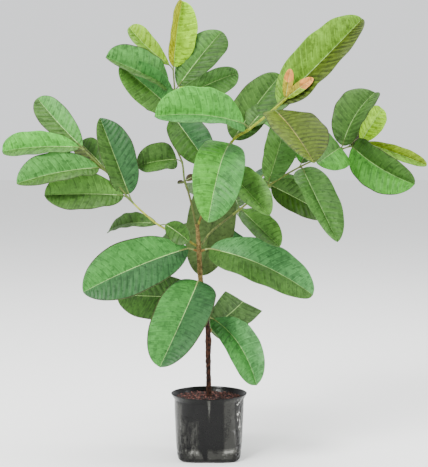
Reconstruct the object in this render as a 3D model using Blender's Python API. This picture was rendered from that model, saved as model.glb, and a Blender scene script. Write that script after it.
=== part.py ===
"""A young guava tree in its black nursery bag.

The plant stands at its real size, in metres, with +Z up. The origin is the middle of the bag's flat
underside, -Y is the side that is looked at, and +X is on the right there. The plan below is in
millimetres and degrees. One thin trunk rises from the potting mix and forks near its top. Each limb is
one smooth line: its first stretch is the bare bough, and the rest is the stem of a mass of foliage.
The big leaves that grow straight from the trunk are each a piece of their own.
"""
import math
from collections import namedtuple

import bmesh
import bpy
from mathutils import Matrix, Quaternion, Vector

MM = 0.001

# What touches keeps this much air, in millimetres.
SEAT_GAP = 0.3

# The nursery bag, a film bag stood open and filled: round at its mouth, square at its foot.
BAG_RIM_RADIUS = 45.2
BAG_NECK_RADIUS = 41.6
BAG_FOOT_RADIUS = 37.5
BAG_RIM_Z = 77.0
BAG_NECK_Z = 70.0
BAG_WALL = 1.2
BAG_SIDES = 32
MIX_CLEARANCE = 0.6

# The mix fills the bag to just under its rim, and the trunk is cut flat where it enters it.
MIX_TOP_Z = 71.0
TRUNK_FOOT_Z = MIX_TOP_Z + SEAT_GAP

# The trunk's thickness, from the flare at its foot to the fork, as (height, radius).
TRUNK_THICKNESS = ((71, 4.6), (76, 3.3), (110, 2.9), (139, 3.6), (150, 2.9), (210, 3.0), (246, 3.0),
                   (262, 2.3), (274, 2.2), (278, 2.9))
TRUNK_LINE = ((0, 0, TRUNK_FOOT_Z), (-1, 0, 115), (-1, 0, 146), (-5, 0, 180), (-10, -2, 212),
              (-12, -3, 250), (-14, -3, 278))

# Each limb: the line that it follows, its radius at its root and at its bud, and how far along it the
# foliage starts. A limb that stands on the flat end of another has its root face square to that one's end,
# and the others leave the trunk's side.
Limb = namedtuple("Limb", "line root_radius tip_radius bare_length stands_on")
LIMBS = {
    "left": Limb(((-15.4, -4.2, 253), (-34, -12, 265), (-57, -20, 277), (-74, -26, 291), (-91, -32, 308),
                  (-116, -42, 339), (-142, -50, 365)), 1.4, 1.0, 43, None),
    "right": Limb(((-8.8, -2, 254), (5, 2, 271), (38, 11, 296), (69, 28, 321), (110, 40, 345),
                   (152, 46, 363), (184, 48, 374)), 1.4, 0.9, 52, None),
    "leader": Limb(((-15.6, -2.2, 278.4), (-23, 0, 311), (-29, 4, 330), (-32, 9, 351), (-42, 18, 375),
                    (-46, 24, 402), (-41, 28, 427), (-43, 28, 463)), 1.4, 1.0, 44, "trunk"),
    "crown": Limb(((-12.4, -3.8, 278.4), (4, -12, 324), (25, -30, 373), (47, -42, 390), (72, -52, 410),
                   (89, -58, 425)), 1.4, 1.5, 62, "trunk"),
    "back": Limb(((-9.2, 1.9, 210), (-10, 20, 214), (-9, 42, 229), (-6, 60, 252)), 1.8, 1.5, 75, None),
    "back_left": Limb(((-7.6, 60.9, 252.5), (-9, 78, 290), (-6, 96, 325), (-10, 112, 358), (-20, 126, 390),
                       (-26, 136, 418)), 1.3, 0.9, 0, "back"),
    "back_right": Limb(((-4.4, 60.9, 252.5), (10, 72, 285), (32, 84, 308), (60, 96, 326), (82, 108, 352),
                        (98, 118, 385)), 1.3, 0.9, 0, "back"),
}

# Each leaf: how far along its limb it grows, where it points (heading 0 is +X, 90 is away, 180 is -X and
# 270 is towards the viewer), how steeply it rises, and its turn about its own midrib from lying face up.
# Then its stalk, its length and its width laid flat, the fold of each half up from the midrib, and the
# midrib's bow out of the blade and its sweep sideways, both as a share of the length. Where a blade isn't
# of the common shape, it has the share of its length at which it is widest, the fullness of its base and
# of its tip (less is fuller), and how far its left margin leans to the tip. A guava bears its leaves in
# opposite pairs, so most places have two. The short names are the nodes' order up each limb.
COMMON_SHAPE = (0.54, 0.62, 0.52, 0.0)
Leaf = namedtuple("Leaf", "name at heading rise turn stalk length width fold bow sweep belly base tip skew",
                  defaults=COMMON_SHAPE)
TRUNK_LEAVES = (
    Leaf("cut_leaf", 77, 33, 41, 73, 9, 112, 51, 14, 0.04, -0.06, 0.43, 0.60, 0.52, 0.02),
    Leaf("low_front_leaf", 97, 311, -42, 34, 12, 103, 53, 40, 0.08, 0.07, 0.63, 0.65, 0.42, -0.14),
    Leaf("low_left_leaf", 114, 155, -1, -91, 10, 110, 58, 16, 0.03, 0.0, 0.48),
    Leaf("low_rear_leaf", 108, 76, -36, 10, 9, 82, 44, 18, 0.06, 0.0),
    Leaf("rear_leaf", 122, 113, -32, 0, 9, 106, 52, 16, 0.08, 0.0),
    Leaf("front_leaf", 141, 250, -35, -17, 8, 146, 68, 24, 0.07, 0.02, 0.50, 0.42, 0.44, -0.12),
    Leaf("big_left_leaf", 176, 202, -20, -60, 14, 137, 70, 18, 0.05, -0.01, 0.57, 0.72, 0.61),
    Leaf("big_right_leaf", 176, 347, -23, 49, 14, 133, 61, 18, 0.06, 0.03, 0.42, 0.46, 0.48, 0.13),
)
MASSES = {
    "left": (
        Leaf("l1", 52, 148, -10, -38, 4, 71, 32, 27, 0.12, 0.02, 0.56, 0.65, 0.53, -0.03),
        Leaf("l2", 52, 318, -26, 66, 10, 42, 26, 21, 0.03, 0.03, 0.61, 0.79, 0.55, -0.06),
        Leaf("l3", 96, 162, 68, -48, 9, 95, 53, 36, 0.03, 0.01, 0.47, 0.54, 0.75, -0.20),
        Leaf("l4", 96, 206, 1, -62, 12, 96, 54, 27, 0.04, 0.0, 0.66, 0.69, 0.56, 0.12),
        Leaf("l5", 143, 203, -10, -49, 9, 98, 52, 36, 0.06, 0.0, 0.59, 0.62, 0.57, -0.05),
        Leaf("l6", 143, 130, 30, -40, 6, 56, 34, 25, 0.06, 0.0),
        Leaf("l7", 177, 190, -3, -56, 7, 87, 40, 37, 0.03, -0.02, 0.70, 0.68, 0.42, 0.05),
        Leaf("l8", 177, 153, 43, -54, 5, 83, 38, 25, 0.05, 0.03, 0.57, 0.76, 0.57, -0.01),
    ),
    "right": (
        Leaf("r1", 62, 310, -31, 31, 4, 78, 40, 36, 0.06, -0.03, 0.61, 0.74, 0.59, -0.02),
        Leaf("r2", 62, 100, 11, 0, 6, 60, 34, 20, 0.08, 0.0),
        Leaf("r3", 109, 46, 67, 59, 6, 88, 48, 30, 0.04, 0.0),
        Leaf("r4", 109, 26, -26, 88, 6, 85, 42, 25, 0.05, 0.0, 0.36),
        Leaf("r5", 157, 315, -57, 31, 4, 103, 53, 41, 0.07, -0.03, 0.43, 0.42, 0.59, 0.15),
        Leaf("r6", 157, 64, 36, 20, 6, 66, 36, 26, 0.06, 0.0),
        Leaf("r7", 211, 36, 51, 23, 6, 84, 59, 36, 0.07, 0.04, 0.57, 0.51, 0.48, 0.04),
        Leaf("r8", 213, 243, -14, -55, 5, 75, 50, 16, 0.10, 0.0),
        Leaf("r9", 222, 337, -30, 99, 4, 90, 61, 36, 0.05, -0.04, 0.49, 0.42, 0.53, -0.06),
        Leaf("r10", 222, 60, 17, 40, 4, 41, 22, 22, 0.05, 0.0),
        Leaf("r11", 236, 49, 43, 59, 3, 60, 30, 22, 0.04, 0.0),
        Leaf("r12", 236, 357, -20, 74, 4, 82, 21, 36, 0.10, -0.02, 0.60, 0.79, 0.56, 0.03),
    ),
    "leader": (
        Leaf("t1", 50, 172, -4, -40, 2, 8, 7, 20, 0.05, 0.0),
        Leaf("t2", 52, 20, 25, 50, 2, 12, 10, 20, 0.05, 0.0),
        Leaf("t3", 76, 196, -9, -66, 7, 49, 49, 44, 0.07, -0.01, 0.61, 0.42, 0.42, 0.22),
        Leaf("t4", 136, 330, -50, 58, 3, 74, 52, 30, 0.05, 0.0),
        Leaf("t5", 136, 118, 20, -40, 6, 54, 36, 18, 0.05, 0.0),
        Leaf("t6", 142, 208, 37, -96, 5, 81, 51, 26, 0.04, 0.0, 0.45),
        Leaf("t7", 151, 29, 22, 93, 7, 90, 40, 34, 0.04, 0.03, 0.54, 0.63, 0.64, -0.09),
        Leaf("t8", 165, 211, 20, -60, 11, 89, 58, 41, 0.05, 0.04, 0.59, 0.52, 0.42, 0.13),
        Leaf("t9", 165, 26, 49, 50, 8, 89, 48, 15, 0.04, 0.0, 0.63, 0.66, 0.64, -0.22),
        Leaf("t10", 191, 66, 73, 68, 4, 84, 52, 37, 0.01, 0.03, 0.52, 0.62, 0.50, 0.06),
        Leaf("t11", 191, 173, 43, -56, 7, 67, 31, 34, 0.01, 0.05, 0.70, 0.94, 0.49, -0.12),
    ),
    "crown": (
        Leaf("c1", 73, 121, -74, 32, 8, 130, 62, 20, 0.11, -0.02),
        Leaf("c2", 73, 316, -37, 34, 8, 88, 48, 38, 0.07, -0.02, 0.54, 0.64, 0.57, 0.02),
        Leaf("c3", 107, 253, -45, -21, 4, 122, 59, 17, 0.19, -0.03, 0.59, 0.47, 0.59, 0.22),
        Leaf("c4", 107, 34, 48, 50, 5, 102, 51, 25, 0.04, 0.01, 0.43, 0.55, 0.52, -0.08),
        Leaf("c5", 136, 205, 4, -57, 9, 111, 68, 44, 0.08, -0.01, 0.64, 0.42, 0.42, 0.08),
        Leaf("c6", 132, 54, 25, 20, 7, 114, 52, 22, 0.07, 0.0),
        Leaf("c7", 170, 293, -31, 7, 7, 113, 68, 27, 0.04, 0.0, 0.53, 0.59, 0.67, 0.17),
        Leaf("c8", 174, 22, 43, 48, 7, 146, 65, 38, 0.05, -0.03, 0.38, 0.68, 0.54, 0.22),
        Leaf("c9", 190, 322, 79, 125, 2, 33, 12, 16, 0.04, 0.0),
        Leaf("c10", 190, 343, 35, 80, 2, 38, 14, 24, 0.04, 0.0),
    ),
    "back_left": (
        Leaf("p1", 27, 152, -45, -40, 8, 120, 50, 20, 0.06, 0.0),
        Leaf("p2", 27, 27, -44, 35, 8, 112, 50, 20, 0.06, 0.0),
        Leaf("p3", 74, 92, -12, -10, 7, 92, 46, 18, 0.08, 0.0),
        Leaf("p4", 74, 37, -18, 25, 7, 84, 40, 18, 0.08, 0.0),
        Leaf("p5", 120, 111, 20, -20, 6, 98, 44, 20, 0.07, 0.0),
        Leaf("p6", 120, 70, -14, 10, 6, 92, 44, 20, 0.07, 0.0),
        Leaf("p7", 181, 93, 47, 0, 4, 48, 28, 22, 0.05, 0.0),
        Leaf("p8", 181, 66, 9, 25, 4, 76, 34, 22, 0.06, 0.0),
        Leaf("p9", 181, 134, 11, -30, 4, 72, 34, 22, 0.06, 0.0),
    ),
    "back_right": (
        Leaf("q1", 53, 60, -30, 10, 7, 94, 44, 20, 0.07, 0.0),
        Leaf("q2", 53, 97, -4, -10, 7, 80, 40, 20, 0.07, 0.0),
        Leaf("q3", 106, 20, -22, 50, 7, 84, 42, 20, 0.07, 0.0),
        Leaf("q4", 106, 92, -2, -15, 7, 86, 42, 20, 0.07, 0.0),
        Leaf("q5", 142, 75, -1, 15, 6, 86, 42, 20, 0.07, 0.0),
        Leaf("q6", 142, 38, 33, 40, 6, 74, 36, 20, 0.07, 0.0),
        Leaf("q7", 177, 73, 20, 20, 4, 70, 30, 22, 0.06, 0.0),
        Leaf("q8", 177, 112, 22, -20, 4, 66, 30, 22, 0.06, 0.0),
    ),
}

# One leaf was cut across: this share of its length is left at the midrib, more on one side.
CUT_LEAF_SHARE = 0.44
CUT_LEAF_SLANT = 0.17

# A leaf of the solid model, by its own length: its thickness, and stations along and across it.
BLADE_THICKNESS = 0.013
LEAST_THICKNESS = 0.8
BLADE_STATIONS = 7
STALK_RADIUS = 0.9
SMALL_STALK_RADIUS = 0.6
SMALL_LEAF_LENGTH = 45
# A stalk climbs this much more steeply than its blade, and less so where the blade itself stands up.
STALK_LIFT = 35
STEEP_RISE = 60
ROOT_DEPTH = 0.09
STALK_SIDES = 5
STEM_SIDES = 6
BOUGH_SIDES = 8
TRUNK_SIDES = 10
LINE_STEPS = 6
BOUGH_PIECES = 5
STEM_PIECE = 16
BUD_TAPER = 0.6

FOLIAGE_GREEN = (0.105, 0.235, 0.065)
COLOURS = {
    "nursery_bag": ((0.012, 0.012, 0.013), 0.3),
    "potting_mix": ((0.06, 0.028, 0.016), 0.95),
    "trunk": ((0.115, 0.062, 0.04), 0.8),
}
BOUGH_COLOUR = ((0.33, 0.34, 0.09), 0.6)
LEAF_ROUGHNESS = 0.5


def clear_scene():
    for thing in list(bpy.data.objects):
        bpy.data.objects.remove(thing)


def material(name, colour, roughness):
    made = bpy.data.materials.new(name)
    made.use_nodes = True
    shader = made.node_tree.nodes["Principled BSDF"]
    shader.inputs["Base Color"].default_value = (*colour, 1.0)
    shader.inputs["Roughness"].default_value = roughness
    shader.inputs["Metallic"].default_value = 0.0
    return made


def smooth_line(knots, steps=LINE_STEPS):
    """Points of a smooth curve through the knots, the same number on each stretch between two of them."""
    knots = [Vector(knot) for knot in knots]
    ends = [2 * knots[0] - knots[1], *knots, 2 * knots[-1] - knots[-2]]
    points = []
    for before, start, end, after in zip(ends, ends[1:], ends[2:], ends[3:]):
        for step in range(steps):
            t = step / steps
            points.append(0.5 * (2 * start + (end - before) * t
                                 + (2 * before - 5 * start + 4 * end - after) * t ** 2
                                 + (3 * start - before - 3 * end + after) * t ** 3))
    points.append(knots[-1])
    return points


def line_length(points):
    return sum((b - a).length for a, b in zip(points, points[1:]))


def along(points, distance):
    """The point that far along the line, and the line's direction there."""
    for a, b in zip(points, points[1:]):
        step = (b - a).length
        if distance <= step:
            return a.lerp(b, max(distance, 0) / step), (b - a).normalized()
        distance -= step
    return points[-1].copy(), (points[-1] - points[-2]).normalized()


def stretch(points, start, end, pieces):
    """That stretch of the line, cut into equal pieces."""
    return [along(points, start + (end - start) * i / pieces)[0] for i in range(pieces + 1)]


def loft(rings):
    """A closed body from rings of as many points each, with a flat face at both ends."""
    mesh = bmesh.new()
    loops = [[mesh.verts.new(point * MM) for point in ring] for ring in rings]
    for low, high in zip(loops, loops[1:]):
        for i in range(len(low)):
            j = (i + 1) % len(low)
            mesh.faces.new((low[i], low[j], high[j], high[i]))
    mesh.faces.new(reversed(loops[0]))
    mesh.faces.new(loops[-1])
    bmesh.ops.recalc_face_normals(mesh, faces=mesh.faces[:])
    return mesh


def tube(points, radii, sides, root_faces=None):
    """A round limb along the points. Its first ring can lie flat against what it grows from."""
    directions = [(b - a).normalized() for a, b in zip(points, points[1:])]
    directions.append(directions[-1])
    side = directions[0].orthogonal().normalized()
    rings = []
    for i, (point, radius) in enumerate(zip(points, radii)):
        heading = (directions[max(i - 1, 0)] + directions[i]).normalized()
        if i == 0 and root_faces is not None:
            heading = root_faces.normalized()
        side = (side - heading * side.dot(heading)).normalized()
        across = heading.cross(side)
        rings.append([point + radius * (side * math.cos(a) + across * math.sin(a))
                      for a in (math.tau * k / sides for k in range(sides))])
    return loft(rings)


def pointing(heading, rise):
    heading, rise = math.radians(heading), math.radians(rise)
    return Vector((math.cos(rise) * math.cos(heading), math.cos(rise) * math.sin(heading), math.sin(rise)))


def half_width(leaf, u):
    """The half width of the blade at the share u of its length, as a share of its widest."""
    if u < leaf.belly:
        return max(1 - (1 - u / leaf.belly) ** 2.1, 0) ** leaf.base
    return max(1 - ((u - leaf.belly) / (1 - leaf.belly)) ** 2.3, 0) ** leaf.tip


def leaf_frame(leaf, node):
    """The blade's place: its X runs from base to tip, its Z out of its upper side."""
    ahead = pointing(leaf.heading, leaf.rise)
    upper = (Vector((0, 0, 1)) - ahead * ahead.z).normalized()
    upper.rotate(Quaternion(ahead, math.radians(leaf.turn)))
    frame = Matrix((ahead, upper.cross(ahead), upper)).transposed().to_4x4()
    lift = STALK_LIFT * min(max(1 - leaf.rise / STEEP_RISE, 0), 1)
    frame.translation = node + leaf.stalk * pointing(leaf.heading, leaf.rise + lift)
    return frame


def blade_point(leaf, u, v):
    """A point of the blade in its own frame: u runs from base to tip, v from edge to edge through 0."""
    rise = 4 * u * (1 - u)
    wide = leaf.width / 2 * half_width(leaf, u)
    fold = math.radians(leaf.fold) * min(1, 0.4 + 2 * u)
    edge = max(wide, leaf.length * 0.012) * abs(v)
    x = leaf.length * u + leaf.skew * math.copysign(edge, v) * rise
    y = leaf.length * leaf.sweep * rise + math.copysign(edge * math.cos(fold), v)
    z = leaf.length * leaf.bow * rise + edge * math.sin(fold) - 0.10 * edge * abs(v)
    return Vector((x, y, z))


def blade(leaf, node, kept=1.0, slant=0.0):
    """The leaf's blade, a thin closed sheet, of which a share is kept from its base."""
    mesh = bmesh.new()
    bmesh.ops.create_grid(mesh, x_segments=BLADE_STATIONS, y_segments=2, size=1.0)
    frame = leaf_frame(leaf, node)
    for vert in mesh.verts:
        u = (1 - math.cos(math.pi * (vert.co.x + 1) / 2)) / 2
        u *= kept * (1 - slant * vert.co.y)
        vert.co = frame @ blade_point(leaf, u, vert.co.y)
    thickness = max(leaf.length * BLADE_THICKNESS, LEAST_THICKNESS)
    bmesh.ops.recalc_face_normals(mesh, faces=mesh.faces[:])
    bmesh.ops.solidify(mesh, geom=mesh.faces[:], thickness=thickness)
    for vert in mesh.verts:
        vert.co *= MM
    bmesh.ops.recalc_face_normals(mesh, faces=mesh.faces[:])
    return mesh


def stalk(leaf, node, foot=None, root_faces=None):
    """The leaf's stalk, from its limb into the root of the blade."""
    frame = leaf_frame(leaf, node)
    inside = frame @ blade_point(leaf, ROOT_DEPTH, 0)
    points = [node if foot is None else foot, frame.translation, inside]
    radius = STALK_RADIUS if leaf.length > SMALL_LEAF_LENGTH else SMALL_STALK_RADIUS
    return tube(points, [radius * 1.2, radius, radius * 0.8], STALK_SIDES, root_faces)


def place(mesh, name):
    data = bpy.data.meshes.new(name)
    mesh.to_mesh(data)
    mesh.free()
    piece = bpy.data.objects.new(name, data)
    bpy.context.scene.collection.objects.link(piece)
    return piece


def finish(piece, colour, roughness):
    """Gives a sub-part its name's material and smooth shading."""
    piece.data.materials.clear()
    piece.data.materials.append(material(piece.name, colour, roughness))
    piece.data.shade_smooth()
    piece.data.set_sharp_from_angle(angle=math.radians(35))


def islands(mesh):
    """The separate shells of the mesh, as lists of faces."""
    left = set(mesh.faces)
    while left:
        shell, ahead = [], [left.pop()]
        while ahead:
            face = ahead.pop()
            shell.append(face)
            for edge in face.edges:
                for other in edge.link_faces:
                    if other in left:
                        left.remove(other)
                        ahead.append(other)
        yield shell


def keep_main_shell(piece):
    """Drops loose scraps and fills what the fusing sealed, by keeping the largest shell alone."""
    mesh = bmesh.new()
    mesh.from_mesh(piece.data)
    shells = sorted(islands(mesh), key=len)
    for shell in shells[:-1]:
        bmesh.ops.delete(mesh, geom=shell, context="FACES")
    mesh.to_mesh(piece.data)
    mesh.free()


def fuse(name, meshes):
    """One solid from the meshes, each of which is sunk into another."""
    helpers = bpy.data.collections.new(name + "_parts")
    bpy.context.scene.collection.children.link(helpers)
    piece = place(meshes[0], name)
    for number, mesh in enumerate(meshes[1:]):
        helper = place(mesh, f"{name}_{number}")
        bpy.context.scene.collection.objects.unlink(helper)
        helpers.objects.link(helper)
    union = piece.modifiers.new("fuse", "BOOLEAN")
    union.operation = "UNION"
    union.operand_type = "COLLECTION"
    union.collection = helpers
    union.solver = "EXACT"
    graph = bpy.context.evaluated_depsgraph_get()
    fused = bpy.data.meshes.new_from_object(piece.evaluated_get(graph))
    piece.modifiers.clear()
    piece.data = fused
    for helper in list(helpers.objects):
        bpy.data.objects.remove(helper)
    bpy.data.collections.remove(helpers)
    keep_main_shell(piece)
    return piece


def bag_ring(z, radius, squareness):
    """One level of the bag: squareness 2 is a circle, and more is squarer."""
    ring = []
    for i in range(BAG_SIDES):
        angle = math.tau * (i + 0.5) / BAG_SIDES
        c, s = abs(math.cos(angle)), abs(math.sin(angle))
        reach = radius / (c ** squareness + s ** squareness) ** (1 / squareness)
        ring.append(Vector((reach * math.cos(angle), reach * math.sin(angle), z)))
    return ring


def bag_levels():
    """The bag's outer wall from foot to rim, as (height, radius, squareness)."""
    return ((0, BAG_FOOT_RADIUS - 3.5, 5), (2.5, BAG_FOOT_RADIUS - 0.5, 5), (7, BAG_FOOT_RADIUS + 0.5, 4.5),
            (20, BAG_FOOT_RADIUS + 2, 3.4), (38, BAG_NECK_RADIUS - 1.2, 2.5),
            (55, BAG_NECK_RADIUS - 0.4, 2.1), (BAG_NECK_Z, BAG_NECK_RADIUS, 2),
            (BAG_RIM_Z - 1.5, BAG_RIM_RADIUS - 0.6, 2), (BAG_RIM_Z, BAG_RIM_RADIUS, 2))


def make_bag():
    levels = bag_levels()
    outer = [bag_ring(*level) for level in levels]
    inner = [bag_ring(max(z, BAG_WALL), radius - BAG_WALL, square) for z, radius, square in levels[1:]]
    inner[-1] = bag_ring(BAG_RIM_Z, BAG_RIM_RADIUS - BAG_WALL, 2)
    inner.insert(0, bag_ring(BAG_WALL, levels[1][1] - 3.5, 5))
    inner[1] = bag_ring(BAG_WALL + 2, levels[1][1] - BAG_WALL, 5)
    bag = place(loft(outer + inner[::-1]), "nursery_bag")
    finish(bag, *COLOURS["nursery_bag"])


def make_mix():
    shrink = BAG_WALL + MIX_CLEARANCE
    rings = [bag_ring(BAG_WALL + SEAT_GAP, bag_levels()[1][1] - 5, 5)]
    for z, radius, square in bag_levels()[2:-2]:
        rings.append(bag_ring(z, radius - shrink, square))
    rings.append(bag_ring(MIX_TOP_Z, BAG_NECK_RADIUS - shrink, 2))
    finish(place(loft(rings), "potting_mix"), *COLOURS["potting_mix"])


def trunk_radius(z):
    for (low, thick), (high, thin) in zip(TRUNK_THICKNESS, TRUNK_THICKNESS[1:]):
        if z <= high:
            share = min(max((z - low) / (high - low), 0), 1)
            return thick + (thin - thick) * share
    return TRUNK_THICKNESS[-1][1]


def make_trunk(line):
    total = line_length(line)
    points = [line[0]]
    for height, _ in TRUNK_THICKNESS[1:]:
        points.append(min(line, key=lambda point: abs(point.z - height)))
    places = sorted({round(p.z, 3) for p in points} | {round(p.z, 3) for p in stretch(line, 0, total, 14)})
    points = [point_at_height(line, z) for z in places]
    mesh = tube(points, [trunk_radius(point.z) for point in points], TRUNK_SIDES, Vector((0, 0, 1)))
    finish(place(mesh, "trunk"), *COLOURS["trunk"])


def point_at_height(line, z):
    for a, b in zip(line, line[1:]):
        if z <= b.z:
            return a.lerp(b, min(max((z - a.z) / (b.z - a.z), 0), 1))
    return line[-1].copy()


def limb_radius(limb, line, distance):
    share = min(distance / line_length(line), 1)
    return limb.root_radius + (limb.tip_radius - limb.root_radius) * share


def root_face(limb, lines):
    """The way that the flat root of a limb faces along it, square to what it grows from."""
    line = lines["trunk"]
    if limb.stands_on:
        end = lines[limb.stands_on]
        return end[-1] - end[-2]
    outwards = Vector(limb.line[0]) - point_at_height(line, limb.line[0][2])
    outwards.z = 0
    return outwards


def make_bough(name, limb, lines):
    """The bare stretch of a limb, which tapers from its collar at the trunk to where foliage starts."""
    line = lines[name]
    points = stretch(line, 0, limb.bare_length, BOUGH_PIECES)
    reach = [limb.bare_length * i / BOUGH_PIECES for i in range(BOUGH_PIECES + 1)]
    radii = [limb_radius(limb, line, distance) for distance in reach]
    bough = place(tube(points, radii, BOUGH_SIDES, root_face(limb, lines)), name + "_bough")
    finish(bough, *BOUGH_COLOUR)


def make_mass(name, limb, lines):
    """The foliage of a limb: its stem grows on from the bough, and its leaves are fused on."""
    line = lines[name]
    start = limb.bare_length + SEAT_GAP if limb.bare_length else 0
    end = line_length(line)
    pieces = round((end - start) / STEM_PIECE)
    points = stretch(line, start, end, pieces)
    radii = [limb_radius(limb, line, start + (end - start) * i / pieces) for i in range(pieces + 1)]
    radii[-1] *= BUD_TAPER
    meshes = [tube(points, radii, STEM_SIDES, None if start else root_face(limb, lines))]
    for leaf in MASSES[name]:
        node = along(line, leaf.at)[0]
        meshes.append(stalk(leaf, node))
        meshes.append(blade(leaf, node))
    finish(fuse(name + "_foliage", meshes), FOLIAGE_GREEN, LEAF_ROUGHNESS)


def make_trunk_leaf(leaf, trunk_line):
    """A leaf that grows from the trunk's bark, with its stalk seated there."""
    node = along(trunk_line, leaf.at)[0]
    outwards = pointing(leaf.heading, 0)
    foot = node + outwards * (trunk_radius(node.z) + SEAT_GAP)
    cut = (CUT_LEAF_SHARE, CUT_LEAF_SLANT) if leaf.name == "cut_leaf" else (1.0, 0.0)
    meshes = [stalk(leaf, node, foot, outwards), blade(leaf, node, *cut)]
    finish(fuse(leaf.name, meshes), FOLIAGE_GREEN, LEAF_ROUGHNESS)


def main():
    clear_scene()
    lines = {name: smooth_line(limb.line) for name, limb in LIMBS.items()}
    lines["trunk"] = smooth_line(TRUNK_LINE)
    make_bag()
    make_mix()
    make_trunk(lines["trunk"])
    for leaf in TRUNK_LEAVES:
        make_trunk_leaf(leaf, lines["trunk"])
    for name, limb in LIMBS.items():
        if limb.bare_length:
            make_bough(name, limb, lines)
        if name in MASSES:
            make_mass(name, limb, lines)


if __name__ == "__main__":
    main()
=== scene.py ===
import math
import random
from collections import namedtuple

import bmesh
import bpy
from mathutils import Matrix, Quaternion, Vector, noise


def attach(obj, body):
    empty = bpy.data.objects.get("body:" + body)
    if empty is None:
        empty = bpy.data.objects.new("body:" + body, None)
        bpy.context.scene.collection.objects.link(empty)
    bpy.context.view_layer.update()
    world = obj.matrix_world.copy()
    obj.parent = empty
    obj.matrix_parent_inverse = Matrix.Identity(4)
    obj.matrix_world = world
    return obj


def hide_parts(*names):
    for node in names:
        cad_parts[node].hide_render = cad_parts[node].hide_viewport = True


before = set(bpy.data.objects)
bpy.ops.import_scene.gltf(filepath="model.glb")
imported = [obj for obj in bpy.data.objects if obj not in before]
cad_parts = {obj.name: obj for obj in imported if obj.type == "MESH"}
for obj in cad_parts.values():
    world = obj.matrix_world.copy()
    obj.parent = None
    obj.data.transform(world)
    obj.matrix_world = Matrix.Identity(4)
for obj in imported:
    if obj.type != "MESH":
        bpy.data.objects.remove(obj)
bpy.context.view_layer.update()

# The view. The camera stands 1.6 m in front of the plant, a little above its middle leaves, and looks
# down by a few degrees. Lengths below are in millimetres and angles in degrees unless they say otherwise.
MM = 0.001
CAMERA_PLACE = Vector((5.9, -1600, 374))
CAMERA_PITCH = 3.83
SENSOR = 36
FRAME_HEIGHT_PX = 467
FOCAL_LENGTH_PX = 1356
camera_data = bpy.data.cameras.new("camera")
camera_data.sensor_width = SENSOR
camera_data.lens = SENSOR * FOCAL_LENGTH_PX / FRAME_HEIGHT_PX
camera_data.clip_end = 60
camera = bpy.data.objects.new("camera", camera_data)
camera.location = CAMERA_PLACE * MM
camera.rotation_euler = (math.radians(90 - CAMERA_PITCH), 0, 0)
bpy.context.scene.collection.objects.link(camera)
bpy.context.scene.camera = camera

# The nursery bag: black low-density polyethylene film, blown and heat-sealed flat, then opened and packed
# with mix. It stands round at its mouth and square at its gusseted foot, with dents and creases.
BAG_RIM_RADIUS = 45.2
BAG_NECK_RADIUS = 41.6
BAG_FOOT_RADIUS = 37.5
BAG_RIM_Z = 77.0
BAG_NECK_Z = 70.0
# Levels of the outer wall from foot to rim, as (height, radius, squareness). Squareness 2 is a circle.
BAG_LEVELS = ((0, BAG_FOOT_RADIUS - 3.5, 5), (2.5, BAG_FOOT_RADIUS - 0.5, 5), (7, BAG_FOOT_RADIUS + 0.5, 4.5),
              (20, BAG_FOOT_RADIUS + 2, 3.4), (38, BAG_NECK_RADIUS - 1.2, 2.5),
              (55, BAG_NECK_RADIUS - 0.4, 2.1), (BAG_NECK_Z, BAG_NECK_RADIUS, 2),
              (BAG_RIM_Z - 1.5, BAG_RIM_RADIUS - 0.6, 2), (BAG_RIM_Z, BAG_RIM_RADIUS, 2))
FILM_THICKNESS = 0.35
BAG_SIDES = 240
BAG_RINGS = 120
# The film's slack dents and folds, by the size of each kind, and the bearings where it is most crumpled.
SLACK_SIZE = 17
FOLD_SIZE = 8
FINE_FOLD_SIZE = 3.6
SIDE_CRUMPLE = (-24, 13)
LOWER_LEFT_CRUMPLE = (-122, 20)
SEAM_Z = 10.5
# The pleat in front: its left edge, its width at the neck, its depth, and the level where it runs out.
PLEAT_X = -2.2
PLEAT_WIDTH = 4.6
PLEAT_DEPTH = 1.5
PLEAT_FOOT_Z = 40


def linear(colour):
    """An sRGB hex colour as the linear colour that a shader takes."""
    parts = [int(colour[i:i + 2], 16) / 255 for i in (1, 3, 5)]
    return (*[c / 12.92 if c <= 0.04045 else ((c + 0.055) / 1.055) ** 2.4 for c in parts], 1.0)


def add(tree, kind, settings=(), inputs=()):
    """Adds a shader node. An input takes a value or the socket that it is linked from."""
    made = tree.nodes.new("ShaderNode" + kind)
    for name, value in dict(settings).items():
        setattr(made, name, value)
    for name, value in dict(inputs).items():
        if isinstance(value, bpy.types.NodeSocket):
            tree.links.new(value, made.inputs[name])
        else:
            made.inputs[name].default_value = value
    return made


def new_material(name):
    """A material with its tree and its shader, ready for its nodes."""
    made = bpy.data.materials.new(name)
    made.use_nodes = True
    return made, made.node_tree, made.node_tree.nodes["Principled BSDF"]


def set_shader(tree, shader, values):
    for name, value in values.items():
        if isinstance(value, bpy.types.NodeSocket):
            tree.links.new(value, shader.inputs[name])
        else:
            shader.inputs[name].default_value = value


def place(mesh, name, materials, *nodes, slot):
    """Makes a finished piece of the mesh, with the materials that its faces use, for those nodes."""
    used = sorted({face.material_index for face in mesh.faces})
    for face in mesh.faces:
        face.material_index = used.index(face.material_index)
    data = bpy.data.meshes.new(name)
    mesh.to_mesh(data)
    mesh.free()
    for number in used:
        data.materials.append(materials[number])
    data.shade_smooth()
    piece = bpy.data.objects.new(name, data)
    bpy.context.scene.collection.objects.link(piece)
    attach(piece, "root")
    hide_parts(*nodes)
    return piece


def between(table, z):
    """The values of a table at a height, whose rows start with their own height."""
    for low, high in zip(table, table[1:]):
        if z <= high[0]:
            share = min(max((z - low[0]) / (high[0] - low[0]), 0), 1)
            return [a + (b - a) * share for a, b in zip(low[1:], high[1:])]
    return list(table[-1][1:])


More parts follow.
